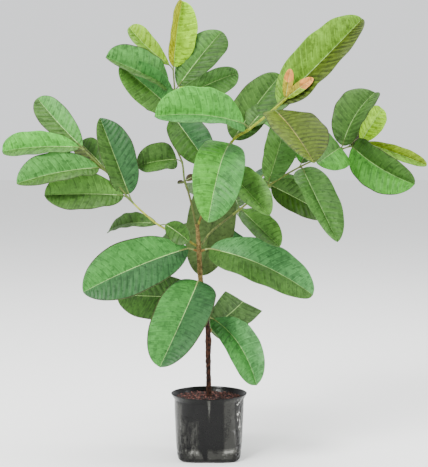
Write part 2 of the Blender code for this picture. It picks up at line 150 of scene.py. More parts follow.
def bag_reach(angle, radius, squareness):
    c, s = abs(math.cos(angle)), abs(math.sin(angle))
    return radius / (c ** squareness + s ** squareness) ** (1 / squareness)


def ridged(point, scale, seed):
    """Sharp folds with flat cheeks between them, from 0 to 1."""
    return 1 - min(abs(noise.noise((point + Vector((seed, seed, seed))) / scale)) * 2.6, 1)


def swell(value, middle, spread):
    """1 at the middle, falling smoothly to nothing a few spreads away from it."""
    return math.exp(-((value - middle) / spread) ** 2)


def film_dent(point, angle, z):
    """How far the film is pushed in there: slack dents, crumpled corners and one long pleat in front."""
    up = z / BAG_RIM_Z
    bearing = math.degrees(angle)
    slack = 0.45 + 0.45 * noise.noise(Vector((point.x, point.y, point.z * 0.5)) / SLACK_SIZE)
    corner = abs(math.sin(2 * angle)) ** 3 * max(1 - up * 2.2, 0)
    lower_left = swell(bearing, *LOWER_LEFT_CRUMPLE) * swell(up, 0.33, 0.2)
    crumple = 0.25 + 1.5 * corner + swell(bearing, *SIDE_CRUMPLE) + 0.9 * lower_left
    folds = ridged(Vector((point.x, point.y, point.z * 0.6)), FOLD_SIZE, 3.7) ** 3
    fine = ridged(Vector((point.x, point.y, point.z * 1.4)), FINE_FOLD_SIZE, 9.1) ** 2
    seam = 0.5 * swell(z, SEAM_Z + noise.noise(point / 14), 1.1)
    depth = 0.35 * slack + crumple * (0.5 * folds + 0.26 * fine) + seam
    pleat_width = PLEAT_WIDTH * min(max((z - PLEAT_FOOT_Z) / 34, 0), 1)
    across = point.x - PLEAT_X
    if point.y < 0 and 0 < across < pleat_width:
        depth += PLEAT_DEPTH * (1 - across / pleat_width) * min((z - PLEAT_FOOT_Z) / 12, 1)
    # The film lies smooth at its rim and foot.
    return depth * min(max((BAG_RIM_Z - z) / 4, 0.15), 1) * min(0.2 + z / 3, 1)


def film_material(name, colour):
    """Black film with a wet-looking gloss, dulled by scuffs some 8 mm across and fine stretch marks."""
    made, tree, shader = new_material(name)
    coordinates = add(tree, "TexCoord")
    bloom = add(tree, "TexNoise", inputs={"Vector": coordinates.outputs["Object"], "Scale": 1 / 0.008,
                                          "Detail": 6.0, "Roughness": 0.65})
    tone = linear(colour)
    dark = (*[part * 0.6 for part in tone[:3]], 1.0)
    scuffed = add(tree, "Mix", {"data_type": "RGBA"}, {0: bloom.outputs["Fac"], 6: dark, 7: tone})
    rough = add(tree, "MapRange", inputs={"Value": bloom.outputs["Fac"], "From Min": 0.3, "From Max": 0.8,
                                          "To Min": 0.14, "To Max": 0.32})
    marks = add(tree, "TexNoise", inputs={"Vector": coordinates.outputs["Object"], "Scale": 1 / 0.0022,
                                          "Detail": 3.0})
    bump = add(tree, "Bump", inputs={"Height": marks.outputs["Fac"], "Strength": 0.25, "Distance": 0.0003})
    set_shader(tree, shader, {"Base Color": scuffed.outputs[2], "Roughness": rough.outputs["Result"],
                              "Normal": bump.outputs["Normal"], "IOR": 1.25})
    return made


# The film is black. Its paler shades are painted sheen and highlights: greys where the folds reflect the
# lights, nearly white on sharp folds, over a little random scuffing.
FILM_SHEEN_SHADES = ("#050505", "#101010", "#1e1e1c", "#333330", "#52524e", "#80807b", "#bbbbb6")
films = [film_material(f"polyethylene_film_{number}", shade) for number, shade in enumerate(FILM_SHEEN_SHADES)]
# The pale streak down the pleat is a painted reflection: where it is, its half width at the rim, and the
# level where it runs out.
PLEAT_REFLECTION_X = 0.2
PLEAT_REFLECTION_HALF_WIDTH = 2.6
PLEAT_REFLECTION_FOOT_Z = 44
# Zones of painted sheen and highlights on the wall, where its folds catch the lights: the bearing of the
# middle (the front is -90) and how far it reaches to each side, its lowest and highest level, how strong its
# painted sheen is, the size of its folds, and how sharp they are (0 is none).
FILM_SHEEN_ZONES = (
    (-30, 10, 36, 78, 1.05, 4.0, 3), (-27, 9, 3, 42, 0.75, 5.0, 2), (-54, 14, 9, 77, 0.36, 9.0, 0),
    (-124, 20, 8, 52, 0.30, 3.0, 0.7), (-88, 50, 2, 18, 0.40, 9.0, 0.3), (-88, 40, 0, 4, 0.55, 3.0, 2),
    (-150, 12, 8, 70, 0.32, 9.0, 0), (-175, 14, 20, 77, 0.42, 4.5, 1), (5, 16, 4, 74, 0.34, 9.0, 0),
    (34, 12, 8, 66, 0.42, 4.5, 1), (75, 13, 3, 77, 0.34, 9.0, 0), (126, 14, 16, 52, 0.42, 4.0, 1),
    (95, 50, 3, 15, 0.42, 14.0, 0.6),
)


def film_sheen_and_scuffs(point):
    """How much painted sheen and highlight the film has there over a little random scuffing, from 0 to 1, in
    folds that are drawn out up and down the wall.
    """
    # The underside gets neither painted sheen nor scuffing.
    if point.z < BAG_RIM_Z - 4 and math.hypot(point.x, point.y) < BAG_FOOT_RADIUS - 4:
        return 0
    bearing = math.degrees(math.atan2(point.y, point.x))
    drawn_out = Vector((point.x, point.y, point.z * 0.26 + point.x * 0.25))
    sheen_and_scuff = 0.13 + 0.12 * noise.noise(drawn_out / 9) + 0.08 * noise.noise(point / 1.3)
    # The painted reflection down the pleat.
    off_reflection = abs(point.x - PLEAT_REFLECTION_X)
    reflection_width = PLEAT_REFLECTION_HALF_WIDTH * max(point.z - PLEAT_REFLECTION_FOOT_Z, 0) / (BAG_RIM_Z - PLEAT_REFLECTION_FOOT_Z)
    if point.y < 0 and point.z < BAG_RIM_Z - 2 and off_reflection < reflection_width:
        sheen_and_scuff += 0.62 * (1 - 0.6 * off_reflection / reflection_width) * min((point.z - PLEAT_REFLECTION_FOOT_Z) / 20, 1)
    # The painted sheen and highlights of each zone.
    for middle, reach, low, high, worn, size, sharp in FILM_SHEEN_ZONES:
        inside = min(1 - abs(bearing - middle) / reach, (point.z - low) / 12, (high - point.z) / 12)
        if inside > 0:
            sheen_and_scuff += worn * min(3 * inside, 1) * ridged(drawn_out, size, middle / 10) ** sharp
    return min(max(sheen_and_scuff, 0), 1)


bag = bmesh.new()
bmesh.ops.create_cone(bag, cap_ends=True, segments=BAG_SIDES, radius1=1, radius2=1, depth=1)
uprights = [edge for edge in bag.edges if abs(edge.verts[0].co.z - edge.verts[1].co.z) > 0.5]
bmesh.ops.subdivide_edges(bag, edges=uprights, cuts=BAG_RINGS - 1)
mouth = [face for face in bag.faces if face.normal.z > 0.9]
bmesh.ops.delete(bag, geom=mouth, context="FACES_ONLY")
for vert in bag.verts:
    share = vert.co.z + 0.5
    z = BAG_RIM_Z * (0.5 * share + 0.25 * (1 - math.cos(math.pi * share)))
    angle = math.atan2(vert.co.y, vert.co.x)
    reach = bag_reach(angle, *between(BAG_LEVELS, z))
    wall = Vector((reach * math.cos(angle), reach * math.sin(angle), z))
    reach -= film_dent(wall, angle, z)
    droop = 0.7 * (0.5 + 0.5 * noise.noise(wall / 19)) * share ** 12
    vert.co = Vector((reach * math.cos(angle), reach * math.sin(angle), z - droop)) * MM
bmesh.ops.recalc_face_normals(bag, faces=bag.faces[:])
bmesh.ops.solidify(bag, geom=bag.faces[:], thickness=FILM_THICKNESS * MM)
bmesh.ops.recalc_face_normals(bag, faces=bag.faces[:])
# Each face takes the shade of its painted sheen and scuffing.
for face in bag.faces:
    face.material_index = round(film_sheen_and_scuffs(face.calc_center_median() / MM) * (len(FILM_SHEEN_SHADES) - 1))
place(bag, "bag_film", films, "nursery_bag", slot="bag_film")

# The potting mix: moist coir pith and fine bark, poured in and settled to just under the rim. It is one
# body with a lumpy top, and loose crumbs lie on that.
MIX_TOP_Z = 71.0
MIX_GAP = 1.8
MIX_RINGS = 16
CRUMB_COUNT = 1500
# No crumb lies nearer the middle than this, where the trunk stands.
TRUNK_CLEAR = 5.4
MIX_SHADES = ("#22110c", "#40211a", "#5c332a", "#8a5750", "#180e0a")


def mix_material(name, colour):
    """Coir mix takes up water unevenly, so each crumb is mottled and dull."""
    made, tree, shader = new_material(name)
    coordinates = add(tree, "TexCoord")
    grain = add(tree, "TexNoise", inputs={"Vector": coordinates.outputs["Object"], "Scale": 1 / 0.0016,
                                          "Detail": 4.0})
    tone = linear(colour)
    dark = (*[part * 0.45 for part in tone[:3]], 1.0)
    mottled = add(tree, "Mix", {"data_type": "RGBA"}, {0: grain.outputs["Fac"], 6: dark, 7: tone})
    bump = add(tree, "Bump", inputs={"Height": grain.outputs["Fac"], "Strength": 0.6, "Distance": 0.0005})
    set_shader(tree, shader, {"Base Color": mottled.outputs[2], "Roughness": 0.95,
                              "Normal": bump.outputs["Normal"]})
    return made


mix_materials = [mix_material(f"coir_mix_{number}", shade) for number, shade in enumerate(MIX_SHADES)]


def mix_height(x, y):
    """The top of the settled mix there, a little heaped round the trunk."""
    spot = Vector((x, y, 0))
    heap = 1.4 * math.exp(-((x * x + y * y) / 150))
    return MIX_TOP_Z + 0.2 + heap + 0.9 * noise.noise(spot / 9) + 0.35 * noise.noise(spot / 3)


mix = bmesh.new()
bmesh.ops.create_cone(mix, cap_ends=True, segments=96, radius1=1, radius2=1, depth=1)
uprights = [edge for edge in mix.edges if abs(edge.verts[0].co.z - edge.verts[1].co.z) > 0.5]
bmesh.ops.subdivide_edges(mix, edges=uprights, cuts=19)
for vert in mix.verts:
    z = 1.5 + (MIX_TOP_Z - 1.5) * (vert.co.z + 0.5)
    angle = math.atan2(vert.co.y, vert.co.x)
    reach = bag_reach(angle, *between(BAG_LEVELS, z)) - MIX_GAP
    vert.co = (reach * math.cos(angle), reach * math.sin(angle), z)
top = [face for face in mix.faces if face.normal.z > 0.9 and face.calc_center_median().z > MIX_TOP_Z - 1]
for ring in range(MIX_RINGS):
    bmesh.ops.inset_region(mix, faces=top, thickness=(BAG_NECK_RADIUS - MIX_GAP) / (MIX_RINGS + 1))
for vert in mix.verts:
    if vert.co.z > MIX_TOP_Z - 0.01:
        vert.co.z = mix_height(vert.co.x, vert.co.y)
    vert.co *= MM
bmesh.ops.recalc_face_normals(mix, faces=mix.faces[:])
place(mix, "mix_body", mix_materials[:1], "potting_mix", slot="potting_mix")


def gather(whole, part, slot_number=0):
    """Moves a finished part into the mesh of its piece. The part's faces keep their own slots."""
    if slot_number:
        for face in part.faces:
            face.material_index = slot_number
    scratch = bpy.data.meshes.new("scratch")
    part.to_mesh(scratch)
    part.free()
    whole.from_mesh(scratch)
    bpy.data.meshes.remove(scratch)


chance = random.Random(7)
crumbs = bmesh.new()
for number in range(CRUMB_COUNT):
    far = (BAG_NECK_RADIUS - 2.6) * math.sqrt(chance.random())
    angle = chance.uniform(0, math.tau)
    x, y = far * math.cos(angle), far * math.sin(angle)
    if math.hypot(x, y) < TRUNK_CLEAR:
        continue
    size = chance.uniform(0.45, 1.0) if number % 9 else chance.uniform(1.0, 1.7)
    crumb = bmesh.new()
    bmesh.ops.create_icosphere(crumb, subdivisions=1, radius=size)
    stretch_by = Vector((chance.uniform(0.7, 1.4), chance.uniform(0.7, 1.3), chance.uniform(0.45, 0.8)))
    turned = Quaternion(Vector((chance.gauss(0, 1), chance.gauss(0, 1), chance.gauss(0, 1))).normalized(),
                        chance.uniform(0, math.tau))
    for vert in crumb.verts:
        lump = vert.co * chance.uniform(0.8, 1.2)
        lump = turned @ Vector((lump.x * stretch_by.x, lump.y * stretch_by.y, lump.z * stretch_by.z))
        vert.co = (lump + Vector((x, y, mix_height(x, y) + size * 0.25))) * MM
    gather(crumbs, crumb, chance.randrange(len(MIX_SHADES)))
place(crumbs, "mix_crumbs", mix_materials, "potting_mix", slot="potting_mix")

# The trunk: one stem of guava wood, with dark flaking bark on its older foot and smooth tan bark above.
# Its foot flares where the roots start, and it is swollen and ringed at each pair of leaf scars.
TRUNK_LINE = ((0, 0, MIX_TOP_Z + 0.3), (-1, 0, 115), (-1, 0, 146), (-5, 0, 180), (-10, -2, 212),
              (-12, -3, 250), (-14, -3, 278))
# The trunk's radius from its flare to its fork, as (height, radius).
TRUNK_THICKNESS = ((71, 4.6), (76, 3.3), (110, 2.9), (139, 3.6), (150, 2.9), (210, 3.0), (246, 3.0),
                   (262, 2.3), (274, 2.2), (278, 2.9))
TRUNK_NODES_Z = (114, 139, 168, 186, 206, 247, 262)
# The plates of old bark die out towards this level, and its colour changes between the next two.
PLATES_TOP_Z = 172
OLD_BARK_Z = 150
YOUNG_BARK_Z = 215
LINE_STEPS = 6


def smooth_line(knots, steps=LINE_STEPS):
    """Points of a smooth curve through the knots, the same number on each stretch between two of them."""
    knots = [Vector(knot) for knot in knots]
    ends = [2 * knots[0] - knots[1], *knots, 2 * knots[-1] - knots[-2]]
    points = []
    for before, start, end, after in zip(ends, ends[1:], ends[2:], ends[3:]):
        for step in range(steps):
            t = step / steps
            points.append(0.5 * (2 * start + (end - before) * t
                                 + (2 * before - 5 * start + 4 * end - after) * t ** 2
                                 + (3 * start - before - 3 * end + after) * t ** 3))
    points.append(knots[-1])
    return points


def line_length(points):
    return sum((b - a).length for a, b in zip(points, points[1:]))


def along(points, distance):
    """The point that far along the line, and the line's direction there."""
    for a, b in zip(points, points[1:]):
        step = (b - a).length
        if distance <= step:
            return a.lerp(b, max(distance, 0) / step), (b - a).normalized()
        distance -= step
    return points[-1].copy(), (points[-1] - points[-2]).normalized()


def limb(line, start, end, rings, sides, radius_at):
    """A closed round limb along that stretch of the line. radius_at takes the distance and the angle."""
    mesh = bmesh.new()
    bmesh.ops.create_cone(mesh, cap_ends=True, segments=sides, radius1=1, radius2=1, depth=1)
    uprights = [edge for edge in mesh.edges if abs(edge.verts[0].co.z - edge.verts[1].co.z) > 0.5]
    bmesh.ops.subdivide_edges(mesh, edges=uprights, cuts=rings - 1)
    places = []
    side = along(line, start)[1].orthogonal()
    for ring in range(rings + 1):
        point, ahead = along(line, start + (end - start) * ring / rings)
        side = (side - ahead * side.dot(ahead)).normalized()
        places.append((point, side, ahead.cross(side)))
    for vert in mesh.verts:
        share = vert.co.z + 0.5
        point, side, across = places[round(share * rings)]
        angle = math.atan2(vert.co.y, vert.co.x)
        radius = radius_at(start + (end - start) * share, angle)
        vert.co = (point + radius * (side * math.cos(angle) + across * math.sin(angle))) * MM
    bmesh.ops.recalc_face_normals(mesh, faces=mesh.faces[:])
    return mesh


trunk_line = smooth_line(TRUNK_LINE)


def trunk_relief(distance, angle):
    """The trunk's radius with its bark: plates and cracks on the foot, faint ribs above, rings at nodes."""
    point = along(trunk_line, distance)[0]
    radius = between(TRUNK_THICKNESS, point.z)[0]
    old = min(max((PLATES_TOP_Z - point.z) / 60, 0.12), 1)
    spot = Vector((math.cos(angle) * 2.2, math.sin(angle) * 2.2, point.z * 0.45))
    plates = ridged(spot, 2.1, 5.3)
    rough = noise.noise(Vector((math.cos(angle) * 3, math.sin(angle) * 3, point.z)) / 1.7)
    knobs = sum(swell(point.z, node_z, 2.3) for node_z in TRUNK_NODES_Z)
    roots = 0.35 * math.cos(5 * angle + 1) * math.exp(-(point.z - MIX_TOP_Z) / 4)
    return radius + old * (0.45 * rough - 0.55 * plates ** 3) + 0.42 * knobs + roots


bark, tree, shader = new_material("guava_bark")
coordinates = add(tree, "TexCoord")
height = add(tree, "SeparateXYZ", inputs={"Vector": coordinates.outputs["Object"]})
flakes = add(tree, "TexNoise", inputs={"Vector": coordinates.outputs["Object"], "Scale": 1 / 0.0035,
                                       "Detail": 6.0, "Roughness": 0.7})
flake_share = add(tree, "MapRange", inputs={"Value": flakes.outputs["Fac"], "From Min": 0.42,
                                            "From Max": 0.68})
# Up from its level the old bark breaks up into the young bark, flake by flake.
old_edge = add(tree, "MapRange", inputs={"Value": height.outputs["Z"], "From Min": YOUNG_BARK_Z * MM,
                                         "From Max": OLD_BARK_Z * MM, "To Min": -0.25, "To Max": 0.6})
old_share = add(tree, "Math", {"operation": "ADD", "use_clamp": True},
                {0: old_edge.outputs["Result"], 1: flakes.outputs["Fac"]})
old_sharp = add(tree, "MapRange", inputs={"Value": old_share.outputs["Value"], "From Min": 0.42,
                                          "From Max": 0.62})
old_bark = add(tree, "Mix", {"data_type": "RGBA"},
               {0: flake_share.outputs["Result"], 6: linear("#0a0404"), 7: linear("#51301f")})
young_bark = add(tree, "Mix", {"data_type": "RGBA"},
                 {0: flake_share.outputs["Result"], 6: linear("#45391a"), 7: linear("#8a7544")})
bark_colour = add(tree, "Mix", {"data_type": "RGBA"},
                  {0: old_sharp.outputs["Result"], 6: young_bark.outputs[2], 7: old_bark.outputs[2]})
bark_bump = add(tree, "Bump", inputs={"Height": flakes.outputs["Fac"], "Strength": 0.8, "Distance": 0.0006})
set_shader(tree, shader, {"Base Color": bark_colour.outputs[2], "Roughness": 0.82, "IOR": 1.3,
                          "Normal": bark_bump.outputs["Normal"]})

trunk_mesh = limb(trunk_line, 0, line_length(trunk_line), 420, 40, trunk_relief)
place(trunk_mesh, "trunk_bark", [bark], "trunk", slot="trunk_bark")

# The limbs: green wood under thin bark, each a bare bough that runs on as the stem of its leaves. Young
# guava stems are four-angled, ringed at each pair of leaves, and go from brown to yellow-green to the bud.
# Each limb has its line, its radius at its root and bud, the length that is bare, and its two bark shades.
Limb = namedtuple("Limb", "line root_radius tip_radius bare_length old_shade young_shade")
LIMBS = {
    "left": Limb(((-15.4, -4.2, 253), (-34, -12, 265), (-57, -20, 277), (-74, -26, 291), (-91, -32, 308),
                  (-116, -42, 339), (-142, -50, 365)), 1.4, 1.0, 43, "#646020", "#98a034"),
    "right": Limb(((-8.8, -2, 254), (5, 2, 271), (38, 11, 296), (69, 28, 321), (110, 40, 345),
                   (152, 46, 363), (184, 48, 374)), 1.4, 0.9, 52, "#3f4722", "#6a7632"),
    "leader": Limb(((-15.6, -2.2, 278.4), (-23, 0, 311), (-29, 4, 330), (-32, 9, 351), (-42, 18, 375),
                    (-46, 24, 402), (-41, 28, 427), (-43, 28, 463)), 1.4, 1.0, 44, "#434620", "#4a5a25"),
    "crown": Limb(((-12.4, -3.8, 278.4), (4, -12, 324), (25, -30, 373), (47, -42, 390), (72, -52, 410),
                   (89, -58, 425)), 1.4, 1.5, 62, "#56461c", "#83931f"),
    "back": Limb(((-9.2, 1.9, 210), (-10, 20, 214), (-9, 42, 229), (-6, 60, 252)), 1.8, 1.5, 75,
                 "#4d4027", "#50552a"),
    "back_left": Limb(((-7.6, 60.9, 252.5), (-9, 78, 290), (-6, 96, 325), (-10, 112, 358), (-20, 126, 390),
                       (-26, 136, 418)), 1.3, 0.9, 0, "#4c4c24", "#5e6e2d"),
    "back_right": Limb(((-4.4, 60.9, 252.5), (10, 72, 285), (32, 84, 308), (60, 96, 326), (82, 108, 352),
                        (98, 118, 385)), 1.3, 0.9, 0, "#4c4c24", "#5e6e2d"),
}
BUD_TAPER = 0.6


def young_wood(name, shade, fleck_shade):
    """Young guava bark is smooth and dull, with flecks of its other shade a few millimetres long."""
    made, tree, shader = new_material(name)
    coordinates = add(tree, "TexCoord")
    mottle = add(tree, "TexNoise", inputs={"Vector": coordinates.outputs["Object"], "Scale": 1 / 0.004,
                                           "Detail": 5.0, "Roughness": 0.6})
    share = add(tree, "MapRange", inputs={"Value": mottle.outputs["Fac"], "From Min": 0.48, "From Max": 0.72})
    colour = add(tree, "Mix", {"data_type": "RGBA"},
                 {0: share.outputs["Result"], 6: linear(shade), 7: linear(fleck_shade)})
    bump = add(tree, "Bump", inputs={"Height": mottle.outputs["Fac"], "Strength": 0.4, "Distance": 0.0004})
    set_shader(tree, shader, {"Base Color": colour.outputs[2], "Roughness": 0.62, "IOR": 1.3,
                              "Normal": bump.outputs["Normal"]})
    return made


def stem_radius(own, length, leaf_places):
    """The radius of a limb along its length, with its four angles and a swollen ring at each node."""
    def radius_at(distance, angle):
        share = min(distance / length, 1)
        radius = own.root_radius + (own.tip_radius - own.root_radius) * share
        radius *= 1 - (1 - BUD_TAPER) * max(1 - (length - distance) / 6, 0)
        knobs = sum(swell(distance, at, 1.6) for at in leaf_places)
        collar = 0.35 * math.exp(-distance / 2.5)
        return radius + 0.09 * math.cos(4 * angle) + 0.32 * min(knobs, 1) + collar
    return radius_at


# The leaves: thick, leathery, opposite, with a strong pale midrib and straight side veins that are sunk
# into the upper face, so that the blade is quilted between them. Each half folds up from the midrib.
# A leaf has its place along its limb, its heading (0 is +X, 90 is away, 270 is towards the viewer), its
# rise, its turn about its own midrib, its stalk, its length and flat width, the fold of its halves, the
# midrib's bow and sweep as shares of its length, and the tones of its left and right halves. Where a blade
# isn't of the common shape, it has the share of its length at which it is widest, the fullness of its base
# and of its tip (less is fuller), and how far its left margin leans to the tip.
COMMON_SHAPE = (0.54, 0.62, 0.52, 0.0)
Leaf = namedtuple("Leaf", "name at heading rise turn stalk length width fold bow sweep left right "
                          "belly base tip skew", defaults=COMMON_SHAPE)
# The tones given to the two halves of a leaf are partly painted light and shade, darker on a shaded half and
# paler on a lit one.
TRUNK_LEAVES = (
    Leaf("cut_leaf", 77, 33, 41, 73, 9, 112, 51, 14, 0.04, -0.06, "worn", "worn", 0.43, 0.60, 0.52, 0.02),
    Leaf("low_front_leaf", 97, 311, -42, 34, 12, 103, 53, 40, 0.08, 0.07, "misty", "young",
         0.63, 0.65, 0.42, -0.14),
    Leaf("low_left_leaf", 114, 155, -1, -91, 10, 110, 58, 16, 0.03, 0.0, "deep", "deep", 0.48),
    Leaf("low_rear_leaf", 108, 76, -36, 10, 9, 82, 44, 18, 0.06, 0.0, "mature", "deep"),
    Leaf("rear_leaf", 122, 113, -32, 0, 9, 106, 52, 16, 0.08, 0.0, "mature", "teal"),
    Leaf("front_leaf", 141, 250, -35, -17, 8, 146, 68, 24, 0.07, 0.02, "teal", "young",
         0.50, 0.42, 0.44, -0.12),
    Leaf("big_left_leaf", 176, 202, -20, -60, 14, 137, 70, 18, 0.05, -0.01, "teal", "young",
         0.57, 0.72, 0.61),
    Leaf("big_right_leaf", 176, 347, -23, 49, 14, 133, 61, 18, 0.06, 0.03, "misty", "mature",
         0.42, 0.46, 0.48, 0.13),
)
MASSES = {
    "left": (
        Leaf("l1", 52, 148, -10, -38, 4, 71, 32, 27, 0.12, 0.02, "full", "full", 0.56, 0.65, 0.53, -0.03),
        Leaf("l2", 52, 318, -26, 66, 10, 42, 26, 21, 0.03, 0.03, "deep", "deep", 0.61, 0.79, 0.55, -0.06),
        Leaf("l3", 96, 162, 68, -48, 9, 95, 53, 36, 0.03, 0.01, "full", "teal", 0.47, 0.54, 0.75, -0.20),
        Leaf("l4", 96, 206, 1, -62, 12, 96, 54, 27, 0.04, 0.0, "full", "mild", 0.66, 0.69, 0.56, 0.12),
        Leaf("l5", 143, 203, -10, -49, 9, 98, 52, 36, 0.06, 0.0, "full", "pale", 0.59, 0.62, 0.57, -0.05),
        Leaf("l6", 143, 130, 30, -40, 6, 56, 34, 25, 0.06, 0.0, "bronze", "deep"),
        Leaf("l7", 177, 190, -3, -56, 7, 87, 40, 37, 0.03, -0.02, "fresh", "tender", 0.70, 0.68, 0.42, 0.05),
        Leaf("l8", 177, 153, 43, -54, 5, 83, 38, 25, 0.05, 0.03, "full", "pale", 0.57, 0.76, 0.57, -0.01),
    ),
    "right": (
        Leaf("r1", 62, 310, -31, 31, 4, 78, 40, 36, 0.06, -0.03, "mild", "mature", 0.61, 0.74, 0.59, -0.02),
        Leaf("r2", 62, 100, 11, 0, 6, 60, 34, 20, 0.08, 0.0, "mature", "full"),
        Leaf("r3", 109, 46, 67, 59, 6, 88, 48, 30, 0.04, 0.0, "mild", "fresh"),
        Leaf("r4", 109, 26, -26, 88, 6, 85, 42, 25, 0.05, 0.0, "full", "painted_shade", 0.36),
        Leaf("r5", 157, 315, -57, 31, 4, 103, 53, 41, 0.07, -0.03, "fresh", "fresh", 0.43, 0.42, 0.59, 0.15),
        Leaf("r6", 157, 64, 36, 20, 6, 66, 36, 26, 0.06, 0.0, "bright", "mature"),
        Leaf("r7", 211, 36, 51, 23, 6, 84, 59, 36, 0.07, 0.04, "full", "full", 0.57, 0.51, 0.48, 0.04),
        Leaf("r8", 213, 243, -14, -55, 5, 75, 50, 16, 0.10, 0.0, "bright", "fresh"),
        Leaf("r9", 222, 337, -30, 99, 4, 90, 61, 36, 0.05, -0.04, "mature", "bright",
             0.49, 0.42, 0.53, -0.06),
        Leaf("r10", 222, 60, 17, 40, 4, 41, 22, 22, 0.05, 0.0, "umber", "bronze"),
        Leaf("r11", 236, 49, 43, 59, 3, 60, 30, 22, 0.04, 0.0, "lime", "lime"),
        Leaf("r12", 236, 357, -20, 74, 4, 82, 21, 36, 0.10, -0.02, "gold", "soft", 0.60, 0.79, 0.56, 0.03),
    ),
    "leader": (
        Leaf("t1", 50, 172, -4, -40, 2, 8, 7, 20, 0.05, 0.0, "umber", "umber"),
        Leaf("t2", 52, 20, 25, 50, 2, 12, 10, 20, 0.05, 0.0, "umber", "umber"),
        Leaf("t3", 76, 196, -9, -66, 7, 49, 49, 44, 0.07, -0.01, "mature", "full", 0.61, 0.42, 0.42, 0.22),
        Leaf("t4", 136, 330, -50, 58, 3, 74, 52, 30, 0.05, 0.0, "teal", "deep"),
        Leaf("t5", 136, 118, 20, -40, 6, 54, 36, 18, 0.05, 0.0, "mature", "mature"),
        Leaf("t6", 142, 208, 37, -96, 5, 81, 51, 26, 0.04, 0.0, "mild", "young", 0.45),
        Leaf("t7", 151, 29, 22, 93, 7, 90, 40, 34, 0.04, 0.03, "fresh", "fresh", 0.54, 0.63, 0.64, -0.09),
        Leaf("t8", 165, 211, 20, -60, 11, 89, 58, 41, 0.05, 0.04, "full", "pale", 0.59, 0.52, 0.42, 0.13),
        Leaf("t9", 165, 26, 49, 50, 8, 89, 48, 15, 0.04, 0.0, "fresh", "deep", 0.63, 0.66, 0.64, -0.22),
        Leaf("t10", 191, 66, 73, 68, 4, 84, 52, 37, 0.01, 0.03, "sun", "lime", 0.52, 0.62, 0.50, 0.06),
        Leaf("t11", 191, 173, 43, -56, 7, 67, 31, 34, 0.01, 0.05, "soft", "spring", 0.70, 0.94, 0.49, -0.12),
    ),
    "crown": (
        # The leaf that hangs behind the trunk's top is coloured with painted shade.
        Leaf("c1", 73, 121, -74, 32, 8, 130, 62, 20, 0.11, -0.02, "painted_shade", "painted_shade"),
        Leaf("c2", 73, 316, -37, 34, 8, 88, 48, 38, 0.07, -0.02, "mild", "mild", 0.54, 0.64, 0.57, 0.02),
        Leaf("c3", 107, 253, -45, -21, 4, 122, 59, 17, 0.19, -0.03, "young", "bright",
             0.59, 0.47, 0.59, 0.22),
        Leaf("c4", 107, 34, 48, 50, 5, 102, 51, 25, 0.04, 0.01, "full", "deep", 0.43, 0.55, 0.52, -0.08),
        Leaf("c5", 136, 205, 4, -57, 9, 111, 68, 44, 0.08, -0.01, "young", "tender", 0.64, 0.42, 0.42, 0.08),
        Leaf("c6", 132, 54, 25, 20, 7, 114, 52, 22, 0.07, 0.0, "mature", "mature"),
        Leaf("c7", 170, 293, -31, 7, 7, 113, 68, 27, 0.04, 0.0, "olive", "bronze", 0.53, 0.59, 0.67, 0.17),
        Leaf("c8", 174, 22, 43, 48, 7, 146, 65, 38, 0.05, -0.03, "soft", "olive", 0.38, 0.68, 0.54, 0.22),
        Leaf("c9", 190, 322, 79, 125, 2, 33, 12, 16, 0.04, 0.0, "apricot", "rose"),
        Leaf("c10", 190, 343, 35, 80, 2, 38, 14, 24, 0.04, 0.0, "apricot", "gold"),
    ),
    "back_left": (
        Leaf("p1", 27, 152, -45, -40, 8, 120, 50, 20, 0.06, 0.0, "mature", "mature"),
        Leaf("p2", 27, 27, -44, 35, 8, 112, 50, 20, 0.06, 0.0, "teal", "mature"),
        Leaf("p3", 74, 92, -12, -10, 7, 92, 46, 18, 0.08, 0.0, "mature", "teal"),
        Leaf("p4", 74, 37, -18, 25, 7, 84, 40, 18, 0.08, 0.0, "mature", "mature"),
        Leaf("p5", 120, 111, 20, -20, 6, 98, 44, 20, 0.07, 0.0, "bright", "mature"),
        Leaf("p6", 120, 70, -14, 10, 6, 92, 44, 20, 0.07, 0.0, "mature", "bright"),
        Leaf("p7", 181, 93, 47, 0, 4, 48, 28, 22, 0.05, 0.0, "lime", "lime"),
        Leaf("p8", 181, 66, 9, 25, 4, 76, 34, 22, 0.06, 0.0, "bright", "gold"),
        Leaf("p9", 181, 134, 11, -30, 4, 72, 34, 22, 0.06, 0.0, "gold", "bright"),
    ),
    "back_right": (
        Leaf("q1", 53, 60, -30, 10, 7, 94, 44, 20, 0.07, 0.0, "mature", "teal"),
        Leaf("q2", 53, 97, -4, -10, 7, 80, 40, 20, 0.07, 0.0, "mature", "mature"),
        Leaf("q3", 106, 20, -22, 50, 7, 84, 42, 20, 0.07, 0.0, "deep", "mature"),
        Leaf("q4", 106, 92, -2, -15, 7, 86, 42, 20, 0.07, 0.0, "mature", "teal"),
        Leaf("q5", 142, 75, -1, 15, 6, 86, 42, 20, 0.07, 0.0, "mature", "bright"),
        Leaf("q6", 142, 38, 33, 40, 6, 74, 36, 20, 0.07, 0.0, "bright", "mature"),
        Leaf("q7", 177, 73, 20, 20, 4, 70, 30, 22, 0.06, 0.0, "spring", "bright"),
        Leaf("q8", 177, 112, 22, -20, 4, 66, 30, 22, 0.06, 0.0, "bright", "spring"),
    ),
}
